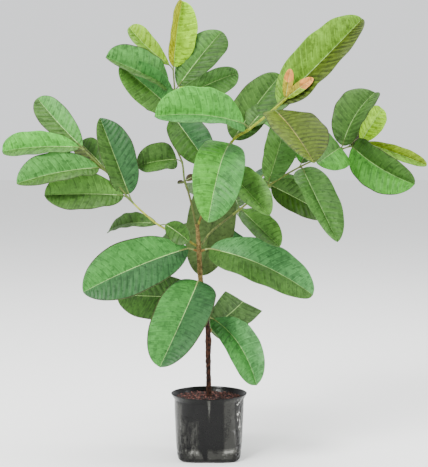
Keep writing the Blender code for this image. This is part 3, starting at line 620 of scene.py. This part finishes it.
# The tones of the blades, from the oldest and darkest to the newest, and last the browned and the reddish.
# They are partly the leaves' own colours and partly painted light and shade: a half in shade takes a darker
# tone and a lit half a paler one, teal stands partly for a painted bluish reflection, and the first tone is
# painted shade alone, for leaves and halves in shadow.
TONES = {
    "painted_shade": "#28460d",
    "deep": "#2e5019",
    "teal": "#2a512a",
    "mature": "#375a22",
    "full": "#3b5d25",
    "worn": "#405c30",
    "fresh": "#406a2b",
    "young": "#387230",
    "misty": "#40763d",
    "mild": "#4c792f",
    "pale": "#458037",
    "bright": "#418328",
    "tender": "#4a9734",
    "soft": "#5c8621",
    "spring": "#749d19",
    "lime": "#84b704",
    "gold": "#6e8914",
    "sun": "#909702",
    "olive": "#35440c",
    "bronze": "#435410",
    "umber": "#342f1b",
    "apricot": "#8f8622",
    "rose": "#9c8628",
    "blush": "#b87a38",
}
MIDRIB_SHADE = "#8bae66"
TAN_MIDRIB_SHADE = "#93824a"
# The margin of a full-grown leaf dries to a thin brownish line.
MARGIN_SHADE = "#2f331a"
# A newly opened leaf is flushed red from this share of its length on.
BLUSH_FROM = 0.5
# How much lighter the side veins are than the blade, and how much darker the furrows beside them, a painted
# shade in the furrows. In a yellowing leaf they stand out more.
VEIN_LIFTS = (1.38, 0.72)
YELLOW_VEIN_LIFTS = (1.45, 0.55)
YELLOW_VEINED = ("olive", "bronze")
# The green is dealt out in small and large patches of these sizes.
SMALL_PATCH = 6
LARGE_PATCH = 14
# The full-grown leaves, whose margins are dry.
OLD_TONES = ("mature", "teal", "deep", "painted_shade", "full", "olive", "bronze")
# The underside is paler than the upper face. On the leaf that hangs behind the trunk's top it is darkened
# with painted shade.
UNDERSIDE_SHADE = "#4d693c"
UNDERSIDE_VEIN_SHADE = "#7f965f"
UNDERSIDE_PAINTED_SHADE = "#3e5228"
# How much of the cut leaf's length is left at its midrib, and how far the cut slants across it.
CUT_LEAF_SHARE = 0.44
CUT_LEAF_SLANT = 0.17
# The stalk of a level leaf rises this much more steeply than its blade, and that of a steep leaf no more.
STALK_LIFT = 35
STEEP_RISE = 60
# The stalk runs on below the blade for this share of its length.
ROOT_DEPTH = 0.09
BLADE_THICKNESS = 0.6
# The side veins: their spacing, their width and their lean to the tip as shares, and how high the blade
# is quilted between them.
VEIN_SPACING = 6.0
VEIN_SHARE = 0.09
VEIN_SLANT = 0.13
QUILT_HEIGHT = 1.15
# Stations from the midrib's edge to the margin, and along one space between two side veins.
CROSS_STATIONS = (0, 0.09, 0.2, 0.34, 0.5, 0.66, 0.82, 0.965, 1)
VEIN_STATIONS = (0, VEIN_SHARE, 0.4, 0.66)


def pointing(heading, rise):
    heading, rise = math.radians(heading), math.radians(rise)
    return Vector((math.cos(rise) * math.cos(heading), math.cos(rise) * math.sin(heading), math.sin(rise)))


def half_width(leaf, u):
    """The half width of the leaf at the share u of its length, as a share of its widest."""
    if u < leaf.belly:
        return max(1 - (1 - u / leaf.belly) ** 2.1, 0) ** leaf.base
    return max(1 - ((u - leaf.belly) / (1 - leaf.belly)) ** 2.3, 0) ** leaf.tip


def leaf_frame(leaf, node):
    """The blade's place: its X runs from base to tip, its Z out of its upper side."""
    ahead = pointing(leaf.heading, leaf.rise)
    upper = (Vector((0, 0, 1)) - ahead * ahead.z).normalized()
    upper.rotate(Quaternion(ahead, math.radians(leaf.turn)))
    made = Matrix((ahead, upper.cross(ahead), upper)).transposed().to_4x4()
    lift = STALK_LIFT * min(max(1 - leaf.rise / STEEP_RISE, 0), 1)
    made.translation = node + leaf.stalk * pointing(leaf.heading, leaf.rise + lift)
    return made


def blade_point(leaf, u, edge):
    """A point of the blade in its own frame, at the share u of its length and that far from the midrib."""
    rise = 4 * u * (1 - u)
    fold = math.radians(leaf.fold) * min(1, 0.4 + 2 * u)
    wide = max(leaf.width / 2 * half_width(leaf, u), 0.001)
    x = leaf.length * u + leaf.skew * edge * rise
    y = leaf.length * leaf.sweep * rise + edge * math.cos(fold)
    z = leaf.length * leaf.bow * rise + abs(edge) * math.sin(fold) - 0.10 * edge * edge / wide
    return Vector((x, y, z))


def shaded(colour, factor):
    """The linear colour made lighter or darker by the factor."""
    return (*[min(part * factor, 1) for part in linear(colour)[:3]], 1.0)


def tissue(name, colour, roughness, lift=1.0):
    """Leaf tissue under a dull wax skin: the green clouds over a few millimetres and catches light softly."""
    made, tree, shader = new_material(name)
    coordinates = add(tree, "TexCoord")
    cloud = add(tree, "TexNoise", inputs={"Vector": coordinates.outputs["Object"], "Scale": 1 / 0.007,
                                          "Detail": 6.0, "Roughness": 0.72})
    share = add(tree, "MapRange", inputs={"Value": cloud.outputs["Fac"], "From Min": 0.32, "From Max": 0.68})
    clouded = add(tree, "Mix", {"data_type": "RGBA"},
                  {0: share.outputs["Result"], 6: shaded(colour, 0.66 * lift),
                   7: shaded(colour, 1.34 * lift)})
    # Small dark spots, where the leaf was stung or splashed, some two millimetres wide.
    spots = add(tree, "TexNoise", inputs={"Vector": coordinates.outputs["Object"], "Scale": 1 / 0.0045,
                                          "Detail": 1.0})
    spotted = add(tree, "MapRange", inputs={"Value": spots.outputs["Fac"], "From Min": 0.62, "From Max": 0.68,
                                            "To Max": 0.55})
    green = add(tree, "Mix", {"data_type": "RGBA"}, {0: spotted.outputs["Result"], 6: clouded.outputs[2],
                                                     7: shaded(colour, 0.35)})
    # The net of the finest veins, about a millimetre and a half wide.
    net = add(tree, "TexVoronoi", {"feature": "DISTANCE_TO_EDGE"},
              {"Vector": coordinates.outputs["Object"], "Scale": 1 / 0.0016})
    bump = add(tree, "Bump", inputs={"Height": net.outputs["Distance"], "Strength": 0.35, "Distance": 0.0004})
    set_shader(tree, shader, {"Base Color": green.outputs[2], "Roughness": roughness, "IOR": 1.22,
                              "Normal": bump.outputs["Normal"]})
    return made


leaf_materials = []
tone_slots = {}
for tone, colour in TONES.items():
    tone_slots[tone] = len(leaf_materials)
    vein_lift, furrow_shade_lift = YELLOW_VEIN_LIFTS if tone in YELLOW_VEINED else VEIN_LIFTS
    leaf_materials.append(tissue(f"leaf_{tone}", colour, 0.44))
    leaf_materials.append(tissue(f"side_vein_{tone}", colour, 0.5, lift=vein_lift))
    # The furrow material is the tone darkened as painted shade.
    leaf_materials.append(tissue(f"furrow_{tone}", colour, 0.5, lift=furrow_shade_lift))
MIDRIB_SLOT = len(leaf_materials)
leaf_materials.append(tissue("leaf_midrib", MIDRIB_SHADE, 0.5))
TAN_MIDRIB_SLOT = len(leaf_materials)
leaf_materials.append(tissue("leaf_midrib_tan", TAN_MIDRIB_SHADE, 0.5))
MARGIN_SLOT = len(leaf_materials)
leaf_materials.append(tissue("leaf_margin", MARGIN_SHADE, 0.6))
UNDERSIDE_SLOT = len(leaf_materials)
leaf_materials.append(tissue("leaf_underside", UNDERSIDE_SHADE, 0.6))
UNDERSIDE_VEIN_SLOT = len(leaf_materials)
leaf_materials.append(tissue("leaf_underside_vein", UNDERSIDE_VEIN_SHADE, 0.6))
UNDERSIDE_PAINTED_SHADE_SLOT = len(leaf_materials)
leaf_materials.append(tissue("leaf_underside_painted_shade", UNDERSIDE_PAINTED_SHADE, 0.6))


def grow_blade(leaf, node, waves):
    """One leaf's blade: a grid whose rows follow its side veins, quilted, waved and thickened."""
    kept, slant = (CUT_LEAF_SHARE, CUT_LEAF_SLANT) if leaf.name == "cut_leaf" else (1, 0)
    veins = max(round(leaf.length * kept / VEIN_SPACING), 4)
    rows = 4 * veins
    columns = 2 * len(CROSS_STATIONS) - 1
    place_in = leaf_frame(leaf, node)
    mesh = bmesh.new()
    bmesh.ops.create_grid(mesh, x_segments=rows, y_segments=columns, size=1)
    for face in mesh.faces:
        centre = face.calc_center_median()
        row = int((centre.x + 1) / 2 * rows)
        column = int((centre.y + 1) / 2 * columns) - len(CROSS_STATIONS) + 1
        # Each half takes its own tone, partly painted light and shade for how that half lies to the light.
        tone = leaf.left if column > 0 else leaf.right
        if leaf.left == "apricot" and row > BLUSH_FROM * rows:
            tone = "blush"
        if column == 0:
            face.material_index = TAN_MIDRIB_SLOT if leaf.right == "bronze" else MIDRIB_SLOT
        elif abs(column) == len(CROSS_STATIONS) - 1:
            face.material_index = MARGIN_SLOT if leaf.left in OLD_TONES else tone_slots[tone]
        else:
            # The side veins are pale, and the furrows beside them are darkened with painted shade, both
            # broken up by the light and dark patches in which the green is dealt out.
            spot = Vector((centre.x * leaf.length, centre.y * leaf.width, 20 * waves[1])) / 2
            small, large = noise.noise(spot / SMALL_PATCH), noise.noise(spot / LARGE_PATCH)
            vein_rows = (0, 3) if tone in YELLOW_VEINED else (0,)
            face.material_index = tone_slots[tone]
            if row % 4 in vein_rows and small > -0.2:
                face.material_index += 1
            elif (row % 4 == 1 and small + large > -0.05) or small + large > 0.42:
                face.material_index += 2
    frequency, phase, height = waves
    quilt = QUILT_HEIGHT * min(leaf.length / 90, 1)
    rib_width = 0.25 + leaf.length * 0.0019
    for vert in mesh.verts:
        row = round((vert.co.x + 1) / 2 * rows)
        column = round((vert.co.y + 1) / 2 * columns) - len(CROSS_STATIONS)
        side = 1 if column >= 0 else -1
        station = CROSS_STATIONS[column if column >= 0 else -column - 1]
        between_veins = VEIN_STATIONS[row % 4]
        w = (row // 4 + between_veins) / veins
        u = w - 0.35 * math.sin(math.tau * w) / math.tau
        u += VEIN_SLANT * math.sin(math.pi * u) * station ** 1.25
        u *= kept * (1 - slant * station * side)
        wide = leaf.width / 2 * half_width(leaf, u)
        rib = min(rib_width * (1 - 0.8 * u), wide)
        edge = side * (rib + (wide - rib) * station)
        puff = math.sin(math.pi * max(between_veins - VEIN_SHARE / 2, 0) / (1 - VEIN_SHARE / 2)) ** 0.8
        puff *= quilt * min(station * 5, 1) * (1 - station ** 4) * min(12 * u * (1.02 - u), 1)
        wave = height * math.sin(frequency * math.tau * u + phase + side)
        ripple = wave * station ** 3 * math.sin(math.pi * u)
        vert.co = blade_point(leaf, u, edge) + Vector((0, 0, puff + ripple))
    upper = set(mesh.faces)
    bmesh.ops.solidify(mesh, geom=mesh.faces[:], thickness=BLADE_THICKNESS)
    for face in mesh.faces:
        if face not in upper:
            # The side veins stand out pale on the underside, below those of the upper face.
            veined = face.material_index < MIDRIB_SLOT and face.material_index % 3 == 1
            face.material_index = UNDERSIDE_VEIN_SLOT if veined else UNDERSIDE_SLOT
            # A leaf in painted shade has its underside in painted shade too.
            if leaf.left == "painted_shade":
                face.material_index = UNDERSIDE_PAINTED_SHADE_SLOT
    for vert in mesh.verts:
        vert.co = (place_in @ vert.co) * MM
    bmesh.ops.recalc_face_normals(mesh, faces=mesh.faces[:])
    return mesh


def grow_midrib(leaf, node):
    """The midrib that stands out of the leaf's underside, thick at the stalk and gone near the tip."""
    place_in = leaf_frame(leaf, node)
    end = CUT_LEAF_SHARE if leaf.name == "cut_leaf" else 0.94
    points = [place_in @ (blade_point(leaf, end * i / 12, 0) - Vector((0, 0, 0.7))) for i in range(13)]
    length = line_length(points)
    thick = 0.35 + leaf.length * 0.005
    return limb(points, 0, length, 14, 8, lambda distance, angle: thick * (1 - 0.8 * distance / length))


def grow_stalk(leaf, node, foot=None):
    """The leaf's stalk: thick where it joins, and bent over into the root of the blade."""
    place_in = leaf_frame(leaf, node)
    start = node if foot is None else foot
    base = place_in.translation
    inside = place_in @ blade_point(leaf, ROOT_DEPTH, 0) - place_in.to_3x3() @ Vector((0, 0, 0.5))
    bend = base.lerp(start, 0.35) + Vector((0, 0, 0.03 * leaf.stalk))
    points = smooth_line([start, start.lerp(bend, 0.5), bend, base.lerp(inside, 0.15), inside])
    length = line_length(points)
    thick = 0.45 + leaf.length * 0.0055
    return limb(points, 0, length, 14, 10,
                lambda distance, angle: thick * (1.25 - 0.35 * min(distance / length * 3, 1)))


chance = random.Random(11)


def draw_waves(leaf):
    """The ripples of the margin: how many there are, where they start, and how high they are."""
    return chance.uniform(2.5, 4), chance.uniform(0, math.tau), 0.010 * leaf.length


limb_lines = {name: smooth_line(own.line) for name, own in LIMBS.items()}
stalk_wood = young_wood("leaf_stalk_bark", "#51602b", "#6a8343")
# The stalks at the trunk are brown for their first few millimetres and pale from there on.
old_stalk_wood = young_wood("old_leaf_stalk_bark", "#6b4f24", "#867238")
pale_stalk_wood = young_wood("pale_leaf_stalk_bark", "#6e7a42", "#8ea062")
OLD_STALK_LENGTH = 5
# How far from its root a limb's stem turns as green as the stalks. The others stay as they are to the bud.
GREEN_FROM = {"left": 92, "leader": 128}
for leaf in TRUNK_LEAVES:
    node = along(trunk_line, leaf.at)[0]
    foot = node + pointing(leaf.heading, 0) * (between(TRUNK_THICKNESS, node.z)[0] - 0.4)
    whole = grow_blade(leaf, node, draw_waves(leaf))
    gather(whole, grow_midrib(leaf, node), MIDRIB_SLOT)
    stalk = grow_stalk(leaf, node, foot)
    for face in stalk.faces:
        pale = (face.calc_center_median() / MM - foot).length > OLD_STALK_LENGTH
        face.material_index = len(leaf_materials) + int(pale)
    gather(whole, stalk)
    place(whole, leaf.name + "_blade", [*leaf_materials, old_stalk_wood, pale_stalk_wood], leaf.name,
          slot="trunk_leaves")

for name, own in LIMBS.items():
    line = limb_lines[name]
    length = line_length(line)
    leaf_places = sorted({leaf.at for leaf in MASSES.get(name, ())})
    radius_at = stem_radius(own, length, leaf_places)
    if own.bare_length:
        bough_wood = young_wood(name + "_bough_bark", own.old_shade, own.young_shade)
        bough = limb(line, 0, own.bare_length, 4 * round(own.bare_length / 3), 24, radius_at)
        place(bough, name + "_bough_bark", [bough_wood], name + "_bough", slot="bough_bark")
    if name not in MASSES:
        continue
    stem_wood = young_wood(name + "_stem_bark", own.young_shade, own.old_shade)
    start = own.bare_length
    stems = limb(line, start, length, 2 * round(length - start), 16, radius_at)
    for face in stems.faces:
        if (face.calc_center_median() / MM - line[0]).length > GREEN_FROM.get(name, length):
            face.material_index = 1
    leaves = bmesh.new()
    for leaf in MASSES[name]:
        node = along(line, leaf.at)[0]
        gather(leaves, grow_blade(leaf, node, draw_waves(leaf)))
        # A leaf in painted shade has its midrib in the same painted shade.
        rib_slot = UNDERSIDE_PAINTED_SHADE_SLOT if leaf.left == "painted_shade" else MIDRIB_SLOT
        gather(leaves, grow_midrib(leaf, node), rib_slot)
        gather(stems, grow_stalk(leaf, node), 1)
    place(leaves, name + "_leaves", leaf_materials, name + "_foliage", slot="foliage")
    place(stems, name + "_stem", [stem_wood, stalk_wood], name + "_foliage", slot="foliage")

# The room: a plain pale floor under wide soft light from above and in front, and a soft light at the right
# that draws the bag's sheen.
FLOOR_HALF = 12
floor_mesh = bmesh.new()
bmesh.ops.create_grid(floor_mesh, x_segments=2, y_segments=2, size=FLOOR_HALF)
floor_data = bpy.data.meshes.new("floor")
floor_mesh.to_mesh(floor_data)
floor_mesh.free()
floor = bpy.data.objects.new("floor", floor_data)
bpy.context.scene.collection.objects.link(floor)
paper, tree, shader = new_material("white_studio_paper")
set_shader(tree, shader, {"Base Color": linear("#f4f4f2"), "Roughness": 0.9})
floor_data.materials.append(paper)

world = bpy.data.worlds.new("studio")
world.use_nodes = True
world.node_tree.nodes["Background"].inputs["Color"].default_value = linear("#f6f8fa")
world.node_tree.nodes["Background"].inputs["Strength"].default_value = 1.3
bpy.context.scene.world = world

# Each light: its place in metres, its width and height in metres, and its power in watts. All aim at the
# plant's middle.
LIGHTS = {
    "key": ((-1.3, -1.7, 2.0), 1.0, 1.0, 150),
    "top": ((0.4, 0.3, 2.4), 1.8, 1.8, 60),
    "side": ((1.9, -0.25, 0.6), 0.4, 1.4, 30),
}
for name, (spot, width, height, power) in LIGHTS.items():
    data = bpy.data.lights.new(name, "AREA")
    data.shape = "RECTANGLE"
    data.size = width
    data.size_y = height
    data.energy = power
    light = bpy.data.objects.new(name, data)
    light.location = spot
    light.rotation_euler = (Vector((0, 0, 0.3)) - Vector(spot)).to_track_quat("-Z", "Y").to_euler()
    bpy.context.scene.collection.objects.link(light)
